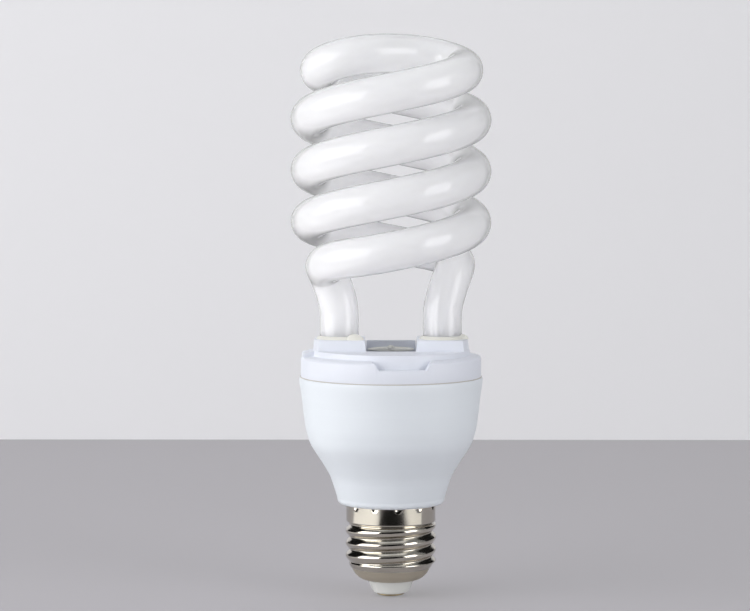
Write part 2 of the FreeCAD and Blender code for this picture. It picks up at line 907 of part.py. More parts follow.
def toroid():
    low = "board_low_z - toroid_high - toroid_wire"
    outer = rod("ring_outer", "toroid_r", "toroid_high", "toroid_x", "toroid_y", low)
    inner = rod("ring_inner", "toroid_hole_r", "toroid_high", "toroid_x", "toroid_y", low)
    core = finished("toroid_core", less("ring_cut", outer, inner))
    doc.recompute()
    turns = []
    centre = vec("toroid_x", "toroid_y", low)
    wire = value("toroid_wire")
    long = value("toroid_r - toroid_hole_r") + 2 * wire
    for winding in range(3):
        for turn in range(3):
            angle = 120 * winding + 22 * (turn - 1)
            loop = Part.makeBox(long, wire, value("toroid_high") + 2 * wire)
            loop.translate(FreeCAD.Vector(value("toroid_hole_r") - wire, -wire / 2, -wire))
            loop.rotate(FreeCAD.Vector(0, 0, 0), FreeCAD.Vector(0, 0, 1), angle)
            loop.translate(centre)
            turns.append(loop.cut(core.Shape))
    fixed_shape("toroid_windings", Part.makeCompound(turns))


def transistor(label, place_y):
    low = "board_low_z - lead_high - case_high"
    case = ("case_wide", "case_thick", "case_high")
    lead = ("lead_wide", "lead_thick", "lead_high")
    lead_low = low + " + case_high"
    pieces = [block(label + "_case", case, "transistor_x", place_y, low)]
    for shift in ("- lead_step", "+ 0", "+ lead_step"):
        name = "%s_lead_%d" % (label, len(pieces))
        pieces.append(block(name, lead, "transistor_x " + shift, place_y, lead_low))
    joined(label, pieces)


def smoothing_capacitor():
    can = rod("can", "can_r", "can_high", "can_x", "0", "can_low_z")
    rounds = doc.addObject("Part::Fillet", "can_rounds")
    rounds.Base = can
    doc.recompute()
    soft = value("can_round")
    rounds.Edges = [(1, soft, soft), (3, soft, soft)]
    pieces = [rounds]
    lead_low = "can_low_z + can_high"
    lead_long = "board_low_z - can_low_z - can_high"
    for place_y in ("can_lead_y", "0 - can_lead_y"):
        name = "can_lead_%d" % len(pieces)
        pieces.append(rod(name, "can_lead_r", lead_long, "can_x", place_y, lead_low))
    joined("smoothing_capacitor", pieces)


def film_capacitor(label, sizes, x, y):
    """A dipped capacitor: a block with rounded upright edges, seated on the board."""
    core = block(label + "_block", sizes, x, y, "board_low_z - " + sizes[2])
    soft = min(value(sizes[0]), value(sizes[1])) * 0.35
    finished(label, upright_rounds(label + "_rounds", core, soft))


def lying_body(radius, long, x, y, angle):
    """A small round component that lies against the board, with the ends of its wires turned up into it."""
    centre_z = value("board_low_z") - radius
    heading = FreeCAD.Vector(math.cos(math.radians(angle)), math.sin(math.radians(angle)), 0)
    middle = FreeCAD.Vector(x, y, centre_z)
    shape = Part.makeCylinder(radius, long, middle - heading * (long / 2), heading)
    for side in (-1, 1):
        end = middle + heading * (side * long / 2)
        foot = end + heading * (side * value("fine_wire_reach"))
        top = FreeCAD.Vector(foot.x, foot.y, value("board_low_z"))
        wire = bent_wire(value("fine_wire_r"), [end, foot, top], value("fine_wire_bend"))
        shape = shape.fuse(wire)
    return shape


def small_components():
    diodes = []
    for number in range(4):
        y = value("diode_y") - number * value("diode_step")
        diodes.append(lying_body(value("diode_r"), value("diode_long"), value("diode_x"), y, 0))
    fixed_shape("rectifier_diodes", Part.makeCompound(diodes))
    fixed_shape("diac", lying_body(value("diac_r"), value("diac_long"), -13.0, -11.0, 40))
    resistors = [
        resistor(-15.0, 11.0, 45),
        resistor(14.0, -11.0, 60),
        resistor(5.0, 18.0, 165),
        resistor(-4.5, -18.0, 10),
    ]
    fixed_shape("resistors", Part.makeCompound(resistors))


def resistor(x, y, angle):
    return lying_body(value("resistor_r"), value("resistor_long"), x, y, angle)


# Wires: round wire along straight runs joined by small arcs.

def bent_wire(radius, points, bend):
    edges = []
    start = points[0]
    for before, corner, after in zip(points, points[1:], points[2:]):
        back = (before - corner).normalize()
        ahead = (after - corner).normalize()
        half_turn = back.getAngle(ahead) / 2
        cut = bend / math.tan(half_turn)
        first = corner + back * cut
        last = corner + ahead * cut
        bisector = (back + ahead).normalize()
        middle = corner + bisector * (bend / math.sin(half_turn) - bend)
        edges.append(Part.LineSegment(start, first).toShape())
        edges.append(Part.Arc(first, middle, last).toShape())
        start = last
    edges.append(Part.LineSegment(start, points[-1]).toShape())
    path = Part.Wire(edges)
    heading = points[1] - points[0]
    section = Part.Wire(Part.makeCircle(radius, points[0], heading))
    return path.makePipeShell([section], True, False)


def tube_leads(label, side):
    """Two thin wires from the foot of a leg, each led across to a post on the board."""
    leg_x = side * value("leg_x")
    pin_x = side * value("pin_x")
    pin_face_y = value("pin_y") - value("pin_side") / 2 - value("pin_gap")
    apart = value("tube_lead_apart")
    low_z = value("leg_bottom_z")
    run_z = low_z - value("tube_lead_drop")
    wires = []
    for end in (1, -1):
        points = [
            FreeCAD.Vector(leg_x, end * apart, low_z),
            FreeCAD.Vector(leg_x, end * apart, run_z),
            FreeCAD.Vector(pin_x, end * pin_face_y, run_z),
        ]
        wires.append(bent_wire(value("tube_lead_r"), points, value("tube_lead_bend")))
    fixed_shape(label, Part.makeCompound(wires))


def fusible_resistor():
    foot = vec("fuse_x", "fuse_y", "fuse_low_z")
    head = vec("fuse_x", "fuse_y", "fuse_low_z + fuse_long")
    points = [
        head,
        vec("fuse_x", "fuse_y", "fuse_low_z + fuse_long + 4"),
        vec("fuse_board_x", "fuse_board_y", "fuse_low_z + fuse_long + 11"),
        vec("fuse_board_x", "fuse_board_y", "board_low_z"),
    ]
    body = Part.makeCylinder(value("fuse_r"), value("fuse_long"), foot)
    wire = bent_wire(value("fuse_wire_r"), points, value("bend_r"))
    fixed_shape("fusible_resistor", body.fuse(wire))


def live_lead():
    points = [
        vec("fuse_x", "fuse_y", "fuse_low_z"),
        vec("fuse_x", "fuse_y", "fuse_low_z - 4"),
        vec(0, 0, "insulator_top_z + 3"),
        vec(0, 0, "insulator_face_z"),
    ]
    fixed_shape("live_lead", bent_wire(value("live_r"), points, value("bend_r")))


def neutral_lead():
    points = [
        vec("neutral_x", "neutral_top_y", "board_low_z"),
        vec("neutral_x", "neutral_top_y", "can_low_z + can_high + 3.5"),
        vec(0, "neutral_low_y", "waist_z - 1.3"),
        vec(0, "neutral_low_y", "neutral_low_z"),
        vec(0, "thread_root_r - sheet - contact_gap", "neutral_low_z"),
    ]
    fixed_shape("neutral_lead", bent_wire(value("neutral_r"), points, 1.2))


lower_housing()
upper_cover()
glass_spiral()
screw_shell()
insulator()
centre_contact()
glue_bead("glue_bead_left", -1, -10.6, -4.5, 3.4, -1.8)
glue_bead("glue_bead_right", 1, 20.8, -1.6, 1.9, -0.5)
circuit_board()
lamp_pins()
tube_leads("tube_leads_left", -1)
tube_leads("tube_leads_right", 1)
choke()
toroid()
transistor("transistor_a", "1")
transistor("transistor_b", "0 - 6")
smoothing_capacitor()
film_capacitor("resonance_capacitor", ("12", "5", "9"), "0 - 5", "13.6")
film_capacitor("coupling_capacitor", ("10", "4.5", "8"), "0 - 4", "0 - 12.6")
film_capacitor("snubber_capacitor", ("6", "3", "6"), "5.6", "0 - 15.6")
small_components()
fusible_resistor()
live_lead()
neutral_lead()
doc.recompute()

faults = []
for item in doc.Objects:
    if "Invalid" in item.State or "Error" in item.State:
        faults.append(item.Name)
for label, part in parts.items():
    if part.Shape.isNull() or not part.Shape.isValid():
        faults.append(label)
if faults:
    raise RuntimeError("failed objects: " + ", ".join(faults))

os.makedirs("parts", exist_ok=True)
for label, part in parts.items():
    part.Shape.exportStep("parts/%s.step" % label)
    print(label, len(part.Shape.Solids), round(part.Shape.Volume, 1))
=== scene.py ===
import math

import bmesh
import bpy
from mathutils import Matrix, Vector


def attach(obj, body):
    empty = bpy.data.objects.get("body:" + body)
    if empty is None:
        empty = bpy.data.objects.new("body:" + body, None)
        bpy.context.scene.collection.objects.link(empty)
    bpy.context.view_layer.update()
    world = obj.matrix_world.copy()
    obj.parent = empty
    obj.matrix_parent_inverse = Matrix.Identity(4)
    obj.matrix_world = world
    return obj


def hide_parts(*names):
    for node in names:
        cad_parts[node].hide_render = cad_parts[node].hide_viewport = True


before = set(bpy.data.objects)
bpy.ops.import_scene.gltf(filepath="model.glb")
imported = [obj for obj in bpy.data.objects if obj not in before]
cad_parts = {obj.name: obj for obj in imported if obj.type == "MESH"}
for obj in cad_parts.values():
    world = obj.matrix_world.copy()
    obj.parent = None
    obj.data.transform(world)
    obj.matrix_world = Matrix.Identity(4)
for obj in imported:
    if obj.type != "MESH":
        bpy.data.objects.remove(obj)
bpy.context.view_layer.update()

# The bulb stands on the contact of its cap. Everything is in metres, with the bulb's axis along Z.

MM = 0.001

# Glass tube: its section, the coil, the lobes at the top that the crossing joins, and the legs.
# A reach is the pull of a curve along its heading; QUARTER_ROUND gives that of a quarter circle.
TUBE_R = 5.69 * MM
COIL_R = 23.5 * MM
COIL_PITCH = 29.8 * MM
COIL_MID_Z = 124.2 * MM
COIL_TURNS = 1.5
CROSSOVER_TOP_Z = 158.1 * MM
LOBE_R = 20.9 * MM
LOBE_Z = 153.3 * MM
LOBE_FORWARD = 5.5 * MM
LOBE_REACH = 6.7 * MM
LOBE_SLOPE = 0.2
CROSSING_TURN = math.radians(30)
CROSSING_REACH = 15.5 * MM
LEG_X = 15.0 * MM
LEG_TOP_Z = 82.0 * MM
LEG_BOTTOM_Z = 64.0 * MM
LEG_REACH = 5.0 * MM
SHOULDER = Vector((18.9, 5.5, 96.0)) * MM
SHOULDER_HEADING = Vector((-0.15, -0.9, -0.4)).normalized()
SHOULDER_REACH_ABOVE = 8.0 * MM
SHOULDER_REACH_BELOW = 6.0 * MM
TUBE_SIDES = 48
QUARTER_ROUND = 0.5523

# Screw cap: its skirt, its thread, the cone under the thread as radius and height in millimetres,
# and the punch marks
SKIRT_R = 13.05 * MM
SKIRT_TOP_Z = 26.9 * MM
SKIRT_LOW_Z = 22.0 * MM
SHEET = 0.3 * MM
THREAD_ROOT_R = 12.14 * MM
THREAD_CREST_R = 13.25 * MM
THREAD_PITCH = 3.629 * MM
THREAD_CREST_Z = 9.9 * MM
THREAD_TOP_Z = 21.3 * MM
THREAD_LOW_Z = 8.9 * MM
THREAD_FULLNESS = 0.65
THREAD_LOW_FADE = 1.4 * MM
THREAD_TOP_FADE = 0.8 * MM
CAP_CONE = [
    (11.9, 8.55), (11.2, 7.6), (10.85, 6.9), (10.3, 6.15),
    (9.5, 5.4), (8.6, 4.9), (7.7, 4.65), (6.85, 4.55),
]
CAP_ROUND_STEPS = 180
CAP_DULL_Z = 8.2 * MM
PUNCH_COUNT = 12
PUNCH_START = math.radians(9 - 90)
PUNCH_Z = 26.6 * MM
PUNCH_DEPTH = 0.4 * MM
PUNCH_HALF_WIDTH = 0.95 * MM
PUNCH_HALF_HEIGHT = 1.3 * MM

# Upper cover: the radius outside which its ring is raised, how far at each height in millimetres,
# and its soft edges
RING_INNER_R = 22.85 * MM
RING_RISE = [(63.4, 0.0), (63.5, 0.7), (67.1, 1.05), (69.1, 1.1), (69.8, 1.0), (72.2, 0.0)]
COVER_EDGE_R = 0.45 * MM
COVER_EDGE_ANGLE = math.radians(28)

# Recess between the collars, whose floor and wall are coloured grey as painted shade: the
# half-sizes and heights of its floor, its wall, and the reach and place in millimetres of the
# silicone on it
RECESS_HALF_X = 7.3 * MM
RECESS_HALF_Y = 8.9 * MM
RECESS_FLOOR_Z = (70.5 * MM, 72.1 * MM)
RECESS_WALL_SIZE = (14.4 * MM, 1.2 * MM, 3.3 * MM)
RECESS_WALL_PLACE = (0, 8.6 * MM, 72.45 * MM)
RECESS_WALL_EDGE = 0.25 * MM
SILICONE_LINE = ((6.9, 0.6, 0.75), (0, 7.9, 71.5))
SILICONE_DROP = ((1.1, 0.65, 0.7), (0, 7.5, 72.0))

# Rings turned round the housing, as radius and height in millimetres
RIM_OUTLINE = [
    (24.6, 64.12), (24.6, 63.5), (25.6, 54.6), (25.7, 55.2), (25.81, 56.0), (25.93, 57.0),
    (26.06, 58.0), (26.26, 59.5), (26.5, 61.0), (26.66, 62.0), (26.72, 62.6), (26.75, 63.3),
    (26.74, 63.9), (26.6, 64.12),
]
SEAM_OUTLINE = [(26.0, 64.1), (26.5, 64.1), (26.52, 64.2), (26.46, 64.38), (26.0, 64.42)]
RING_STEPS = 160


# Materials: one shader each, with the effects that they share in groups.

def shader_group(name, inputs, outputs):
    group = bpy.data.node_groups.new(name, "ShaderNodeTree")
    for label, kind, default in inputs:
        socket = group.interface.new_socket(label, in_out="INPUT", socket_type=kind)
        socket.default_value = default
    for label, kind in outputs:
        group.interface.new_socket(label, in_out="OUTPUT", socket_type=kind)
    inlet = group.nodes.new("NodeGroupInput")
    outlet = group.nodes.new("NodeGroupOutput")
    return group, inlet, outlet


def node(tree, kind, links=(), **settings):
    """A node with its settings, and with values or links given by the input's name or number."""
    made = tree.nodes.new(kind)
    for key, setting in settings.items():
        setattr(made, key, setting)
    for socket, source in links:
        if isinstance(source, bpy.types.NodeSocket):
            tree.links.new(source, made.inputs[socket])
        else:
            made.inputs[socket].default_value = source
    return made


def mix_colours(tree, share, first, second):
    """The output of a mix of two colours, each given as a socket or as three numbers."""
    first, second = (
        side if isinstance(side, bpy.types.NodeSocket) else (*side, 1.0) for side in (first, second)
    )
    mix = node(tree, "ShaderNodeMix", [(0, share), (6, first), (7, second)], data_type="RGBA")
    return mix.outputs[2]


def grain_group():
    """A fine uneven surface: a normal, and a mask that varies slowly for tone and roughness."""
    group, inlet, outlet = shader_group(
        "surface_grain",
        [
            ("Scale", "NodeSocketFloat", 900.0),
            ("Height", "NodeSocketFloat", 0.00003),
            ("Strength", "NodeSocketFloat", 0.3),
        ],
        [("Normal", "NodeSocketVector"), ("Mask", "NodeSocketFloat")],
    )
    place = node(group, "ShaderNodeTexCoord")
    fine = node(
        group, "ShaderNodeTexNoise",
        [("Vector", place.outputs["Object"]), ("Scale", inlet.outputs["Scale"]), ("Detail", 3.0)],
    )
    slow = node(
        group, "ShaderNodeTexNoise",
        [("Vector", place.outputs["Object"]), ("Scale", 60.0), ("Detail", 2.0), ("Roughness", 0.6)],
    )
    bump = node(
        group, "ShaderNodeBump",
        [
            ("Strength", inlet.outputs["Strength"]),
            ("Distance", inlet.outputs["Height"]),
            ("Height", fine.outputs["Fac"]),
        ],
    )
    group.links.new(bump.outputs["Normal"], outlet.inputs["Normal"])
    group.links.new(slow.outputs["Fac"], outlet.inputs["Mask"])
    return group


GRAIN = grain_group()


def finish_of(
    name, low, high, rough, metallic=0.0, scale=900.0, height=0.00003, strength=0.3, **sockets
):
    """A material whose colour and roughness drift a little between two values over the surface.

    Scale, height and strength are those of the fine grain. Any other socket of the shader is set
    by its name with underscores.
    """
    material = bpy.data.materials.new(name)
    material.use_nodes = True
    tree = material.node_tree
    shader = tree.nodes["Principled BSDF"]
    grain = node(tree, "ShaderNodeGroup", node_tree=GRAIN)
    grain.inputs["Scale"].default_value = scale
    grain.inputs["Height"].default_value = height
    grain.inputs["Strength"].default_value = strength
    roughness = node(
        tree, "ShaderNodeMapRange",
        [
            ("Value", grain.outputs["Mask"]), ("From Min", 0.35), ("From Max", 0.65),
            ("To Min", rough[0]), ("To Max", rough[1]),
        ],
    )
    colour = mix_colours(tree, grain.outputs["Mask"], low, high)
    tree.links.new(colour, shader.inputs["Base Color"])
    tree.links.new(roughness.outputs["Result"], shader.inputs["Roughness"])
    tree.links.new(grain.outputs["Normal"], shader.inputs["Normal"])
    shader.inputs["Metallic"].default_value = metallic
    for label, setting in sockets.items():
        shader.inputs[label.replace("_", " ")].default_value = setting
    return material


MOULDED_GRAIN = {"scale": 1500.0, "height": 0.00002, "strength": 0.25}
housing_plastic = finish_of(
    "moulded_white", (0.785, 0.825, 0.865), (0.815, 0.855, 0.89), (0.36, 0.44), **MOULDED_GRAIN
)
cover_plastic = finish_of(
    "moulded_cover", (0.785, 0.81, 0.88), (0.81, 0.835, 0.90), (0.36, 0.44), **MOULDED_GRAIN
)
# Painted shade: a grey darker than the cover, for the faces in its recess and the wall behind it
recess_painted_shade = finish_of("recess_painted_shade", (0.60, 0.62, 0.67), (0.68, 0.70, 0.75), (0.5, 0.65))
coated_glass = finish_of(
    "coated_glass", (0.88, 0.877, 0.887), (0.895, 0.892, 0.902), (0.5, 0.55), strength=0.0,
    Specular_IOR_Level=0.0, Coat_Weight=1.0, Coat_Roughness=0.015, Coat_IOR=1.5,
    Subsurface_Weight=0.9, Subsurface_Scale=22.0 * MM, Subsurface_Radius=(1.0, 1.0, 0.95),
)


def glass_rim_tint_and_shade(material, tint, start, full):
    """The clear wall round the white coating shows as a thin grey-green line where it is edge on:
    partly its own tint, partly painted shade for the darker surroundings it shows there.

    The tint begins and is full at the given shares of the turn away from the camera. Light that
    passes between the strands meets the plain white.
    """
    tree = material.node_tree
    shader = tree.nodes["Principled BSDF"]
    body = shader.inputs["Base Color"].links[0].from_socket
    edge = node(tree, "ShaderNodeLayerWeight", [("Blend", 0.5)])
    reach = node(
        tree, "ShaderNodeMapRange",
        [("Value", edge.outputs["Facing"]), ("From Min", start), ("From Max", full)],
    )
    path = node(tree, "ShaderNodeLightPath")
    seen = node(
        tree, "ShaderNodeMath", [(0, reach.outputs["Result"]), (1, path.outputs["Is Camera Ray"])],
        operation="MULTIPLY",
    )
    colour = mix_colours(tree, seen.outputs["Value"], body, tint)
    tree.links.new(colour, shader.inputs["Base Color"])


# Painted shade at the glass's edges, seen only by the camera, together with the clear wall's own
# tint
glass_rim_tint_and_shade(coated_glass, (0.19, 0.2, 0.18), 0.62, 0.9)
nickel = finish_of(
    "nickel_plate", (0.62, 0.58, 0.50), (0.70, 0.66, 0.58), (0.11, 0.19),
    metallic=1.0, scale=700.0, strength=0.15,
)


def matte_below(material, height, tint, rough):
    """The drawn end of the sheet keeps a dull, slightly brassy skin below a height."""
    tree = material.node_tree
    shader = tree.nodes["Principled BSDF"]
    colour = shader.inputs["Base Color"].links[0].from_socket
    roughness = shader.inputs["Roughness"].links[0].from_socket
    blur = 0.2 * MM
    place = node(tree, "ShaderNodeTexCoord")
    axes = node(tree, "ShaderNodeSeparateXYZ", [(0, place.outputs["Object"])])
    reach = node(
        tree, "ShaderNodeMapRange",
        [("Value", axes.outputs["Z"]), ("From Min", height + blur), ("From Max", height - blur)],
    ).outputs["Result"]
    dulled = node(tree, "ShaderNodeMix", [(0, reach), (2, roughness), (3, rough)])
    tree.links.new(mix_colours(tree, reach, colour, tint), shader.inputs["Base Color"])
    tree.links.new(dulled.outputs[0], shader.inputs["Roughness"])


matte_below(nickel, CAP_DULL_Z, (0.70, 0.64, 0.52), 0.48)
insulator_white = finish_of(
    "vitrified_white", (0.78, 0.79, 0.75), (0.86, 0.87, 0.83), (0.2, 0.35),
    scale=600.0, height=0.00006, strength=0.4,
)
contact_brass = finish_of(
    "worn_brass", (0.52, 0.40, 0.20), (0.66, 0.54, 0.32), (0.28, 0.45),
    metallic=1.0, scale=1800.0, strength=0.4,
)
silicone = finish_of(
    "cured_silicone", (0.80, 0.79, 0.72), (0.84, 0.83, 0.77), (0.38, 0.5),
    scale=500.0, height=0.00008, strength=0.4,
)
# A darker tan for the thin ring along the seam
seam_darker_tan = finish_of("seam_darker_tan", (0.48, 0.45, 0.42), (0.6, 0.57, 0.53), (0.4, 0.55), scale=700.0)
board_laminate = finish_of(
    "board_laminate", (0.24, 0.17, 0.06), (0.32, 0.24, 0.09), (0.45, 0.6), scale=2200.0
)
tinned_wire = finish_of(
    "tinned_wire", (0.62, 0.62, 0.62), (0.72, 0.72, 0.72), (0.22, 0.35), metallic=1.0
)
ferrite = finish_of(
    "ferrite", (0.018, 0.018, 0.02), (0.03, 0.03, 0.033), (0.45, 0.65), scale=2500.0, strength=0.6
)
bobbin_plastic = finish_of(
    "bobbin_plastic", (0.012, 0.012, 0.014), (0.02, 0.02, 0.022), (0.35, 0.5)
)
enamelled_copper = finish_of(
    "enamelled_copper", (0.42, 0.14, 0.05), (0.55, 0.2, 0.08), (0.2, 0.35), metallic=0.9
)
black_resin = finish_of(
    "black_resin", (0.01, 0.01, 0.011), (0.018, 0.018, 0.02), (0.4, 0.6), scale=2600.0
)
can_sleeve = finish_of("can_sleeve", (0.008, 0.01, 0.03), (0.014, 0.018, 0.05), (0.18, 0.28))
brown_resin = finish_of("brown_resin", (0.2, 0.045, 0.014), (0.27, 0.07, 0.02), (0.15, 0.3))
resistor_lacquer = finish_of("resistor_lacquer", (0.5, 0.38, 0.2), (0.58, 0.45, 0.26), (0.25, 0.4))
wire_sleeve = finish_of("wire_sleeve", (0.66, 0.66, 0.62), (0.72, 0.72, 0.68), (0.35, 0.5))

NODE_FINISHES = {
    "upper_cover": cover_plastic,
    "lower_housing": housing_plastic,
    "insulator": insulator_white,
    "centre_contact": contact_brass,
    "glue_bead_left": silicone,
    "glue_bead_right": silicone,
    "circuit_board": board_laminate,
    "lamp_pins": tinned_wire,
    "tube_leads_left": tinned_wire,
    "tube_leads_right": tinned_wire,
    "choke_core": ferrite,
    "choke_bobbin": bobbin_plastic,
    "choke_winding": enamelled_copper,
    "toroid_core": ferrite,
    "toroid_windings": enamelled_copper,
    "transistor_a": black_resin,
    "transistor_b": black_resin,
    "smoothing_capacitor": can_sleeve,
    "resonance_capacitor": brown_resin,
    "coupling_capacitor": brown_resin,
    "snubber_capacitor": brown_resin,
    "rectifier_diodes": black_resin,
    "diac": resistor_lacquer,
    "resistors": resistor_lacquer,
    "fusible_resistor": resistor_lacquer,
    "live_lead": wire_sleeve,
    "neutral_lead": wire_sleeve,
    "screw_shell": nickel,
    "glass_spiral": coated_glass,
}
for name, material in NODE_FINISHES.items():
    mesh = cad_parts[name].data
    mesh.materials.clear()
    mesh.materials.append(material)


def piece(name, bm, material, slot, *replaced):
    """Makes a bmesh a smooth piece of the object, in place of the named solids if there are any."""
    mesh = bpy.data.meshes.new(name)
    bm.to_mesh(mesh)
    bm.free()
    for face in mesh.polygons:
        face.use_smooth = True
    made = bpy.data.objects.new(name, mesh)
    bpy.context.scene.collection.objects.link(made)
    mesh.materials.append(material)
    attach(made, "root")
    if replaced:
        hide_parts(*replaced)
    return made


def verts_of(geometry):
    return [item for item in geometry if isinstance(item, bmesh.types.BMVert)]


def turned_round(bm, verts, edges, steps):
    """Spins an outline once round the bulb's axis."""
    bmesh.ops.spin(
        bm, geom=verts + edges, cent=(0, 0, 0), axis=(0, 0, 1), angle=2 * math.pi, steps=steps,
        use_merge=True, use_duplicate=False,
    )


# Glass tube: a ring of vertices carried along the centre line of one strand, then its other half.

def bezier(steps, start, first_pole, second_pole, end):
    """Points along a cubic curve, without its last point."""
    points = []
    for step in range(steps):
        t = step / steps
        s = 1.0 - t
        points.append(
            start * s ** 3 + first_pole * 3 * s * s * t + second_pole * 3 * s * t * t + end * t ** 3
        )
    return points


def half_centre_line():
    """From the top of the crossing, down one strand, to the end of its leg."""
    slope = math.atan(COIL_PITCH / (2 * math.pi * COIL_R))
    along = math.cos(slope)
    down = math.sin(slope)
    front_z = COIL_MID_Z + COIL_TURNS / 2 * COIL_PITCH
    back_z = COIL_MID_Z - COIL_TURNS / 2 * COIL_PITCH

    top = Vector((0, 0, CROSSOVER_TOP_Z))
    top_reach = Vector((math.cos(CROSSING_TURN), math.sin(CROSSING_TURN), 0)) * CROSSING_REACH
    lobe = Vector((LOBE_R, -LOBE_FORWARD, LOBE_Z))
    lobe_heading = Vector((0, 1, LOBE_SLOPE))
    points = bezier(36, top, top + top_reach, lobe + lobe_heading * LOBE_REACH, lobe)

    reach = QUARTER_ROUND * (LOBE_R + COIL_R - LOBE_FORWARD) / 2
    front = Vector((0, -COIL_R, front_z))
    front_reach = Vector((along, 0, down)) * reach
    points += bezier(24, lobe, lobe - lobe_heading * reach, front + front_reach, front)

    coil_steps = 144
    for step in range(coil_steps):
        angle = math.radians(-90 - 360 * COIL_TURNS * step / coil_steps)
        height = front_z - (front_z - back_z) * step / coil_steps
        points.append(Vector((COIL_R * math.cos(angle), COIL_R * math.sin(angle), height)))

    back = Vector((0, COIL_R, back_z))
    back_reach = Vector((along, 0, -down)) * (COIL_R / 2)
    above = SHOULDER - SHOULDER_HEADING * SHOULDER_REACH_ABOVE
    points += bezier(24, back, back + back_reach, above, SHOULDER)

    below = SHOULDER + SHOULDER_HEADING * SHOULDER_REACH_BELOW
    leg_top = Vector((LEG_X, 0, LEG_TOP_Z))
    points += bezier(20, SHOULDER, below, leg_top + Vector((0, 0, LEG_REACH)), leg_top)
    points.append(leg_top)
    points.append(Vector((LEG_X, 0, (LEG_TOP_Z + LEG_BOTTOM_Z) / 2)))
    points.append(Vector((LEG_X, 0, LEG_BOTTOM_Z)))
    return points


def carried_ring(bm, points, radius, sides):
    """Extrudes a ring along points without twist, and closes its last end."""
    heading = Vector((math.cos(CROSSING_TURN), math.sin(CROSSING_TURN), 0))
    turn = heading.to_track_quat("Z", "Y").to_matrix().to_4x4()
    ring = bmesh.ops.create_circle(bm, segments=sides, radius=radius)["verts"]
    bmesh.ops.transform(bm, verts=ring, matrix=Matrix.Translation(points[0]) @ turn)
    edges = list(dict.fromkeys(edge for vert in ring for edge in vert.link_edges))
    last = len(points) - 1
    for index in range(1, last + 1):
        ahead = points[min(index + 1, last)] - points[index - 1]
        swing = heading.rotation_difference(ahead.normalized()).to_matrix().to_4x4()
        heading = ahead.normalized()
        grown = bmesh.ops.extrude_edge_only(bm, edges=edges)["geom"]
        ring = verts_of(grown)
        edges = [
            item for item in grown
            if isinstance(item, bmesh.types.BMEdge) and all(vert in ring for vert in item.verts)
        ]
        move = Matrix.Translation(points[index]) @ swing @ Matrix.Translation(-points[index - 1])
        bmesh.ops.transform(bm, verts=ring, matrix=move)
    bmesh.ops.edgeloop_fill(bm, edges=edges)


def glass_tube():
    """One strand, and the same turned half round the axis, joined where they cross at the top."""
    bm = bmesh.new()
    carried_ring(bm, half_centre_line(), TUBE_R, TUBE_SIDES)
    copy = bmesh.ops.duplicate(bm, geom=bm.verts[:] + bm.edges[:] + bm.faces[:])["geom"]
    half_turn = Matrix.Rotation(math.pi, 3, "Z")
    bmesh.ops.rotate(bm, verts=verts_of(copy), cent=(0, 0, 0), matrix=half_turn)
    bmesh.ops.remove_doubles(bm, verts=bm.verts[:], dist=0.02 * MM)
    bmesh.ops.recalc_face_normals(bm, faces=bm.faces[:])
    piece("glass_tube", bm, coated_glass, "coated_glass", "glass_spiral")


# Screw shell: a turned sheet, pressed into a thread, with a row of punch marks under its edge.

def smooth(share):
    """A soft step from 0 to 1 as the share goes from 0 to 1."""
    share = min(max(share, 0.0), 1.0)
    return share * share * (3 - 2 * share)


def thread_rise(angle, height):
    """How far the thread stands out from its root: round crests that fade out at both ends."""
    phase = (height - THREAD_CREST_Z) / THREAD_PITCH - angle / (2 * math.pi)
    wave = (0.5 + 0.5 * math.cos(2 * math.pi * phase)) ** THREAD_FULLNESS
    fade_low = smooth((height - THREAD_LOW_Z) / THREAD_LOW_FADE)
    fade_high = smooth((THREAD_TOP_Z + THREAD_TOP_FADE / 2 - height) / THREAD_TOP_FADE)
    return (THREAD_CREST_R - THREAD_ROOT_R) * wave * fade_low * fade_high


def punch_depth(angle, height):
    """A sharp dent with a vee outline at each of the evenly spaced punch marks."""
    spacing = 2 * math.pi / PUNCH_COUNT
    across = ((angle - PUNCH_START + spacing / 2) % spacing - spacing / 2) * SKIRT_R
    reach = 1.0 - abs(across) / PUNCH_HALF_WIDTH - abs(height - PUNCH_Z) / PUNCH_HALF_HEIGHT
    return PUNCH_DEPTH * max(0.0, reach)


def shell_outline():
    """Radius and height of the sheet's outer face, from its top edge to its mouth."""
    skirt_steps, neck_steps, thread_steps = 26, 4, 84
    outline = [(SKIRT_R, SKIRT_TOP_Z)]
    for step in range(1, skirt_steps + 1):
        outline.append((SKIRT_R, SKIRT_TOP_Z - (SKIRT_TOP_Z - SKIRT_LOW_Z) * step / skirt_steps))
    for step in range(1, neck_steps + 1):
        radius = SKIRT_R + (THREAD_ROOT_R - SKIRT_R) * smooth(step / neck_steps)
        outline.append((radius, SKIRT_LOW_Z - (SKIRT_LOW_Z - THREAD_TOP_Z) * step / neck_steps))
    for step in range(1, thread_steps + 1):
        height = THREAD_TOP_Z - (THREAD_TOP_Z - THREAD_LOW_Z) * step / thread_steps
        outline.append((THREAD_ROOT_R, height))
    return outline + [(radius * MM, height * MM) for radius, height in CAP_CONE]


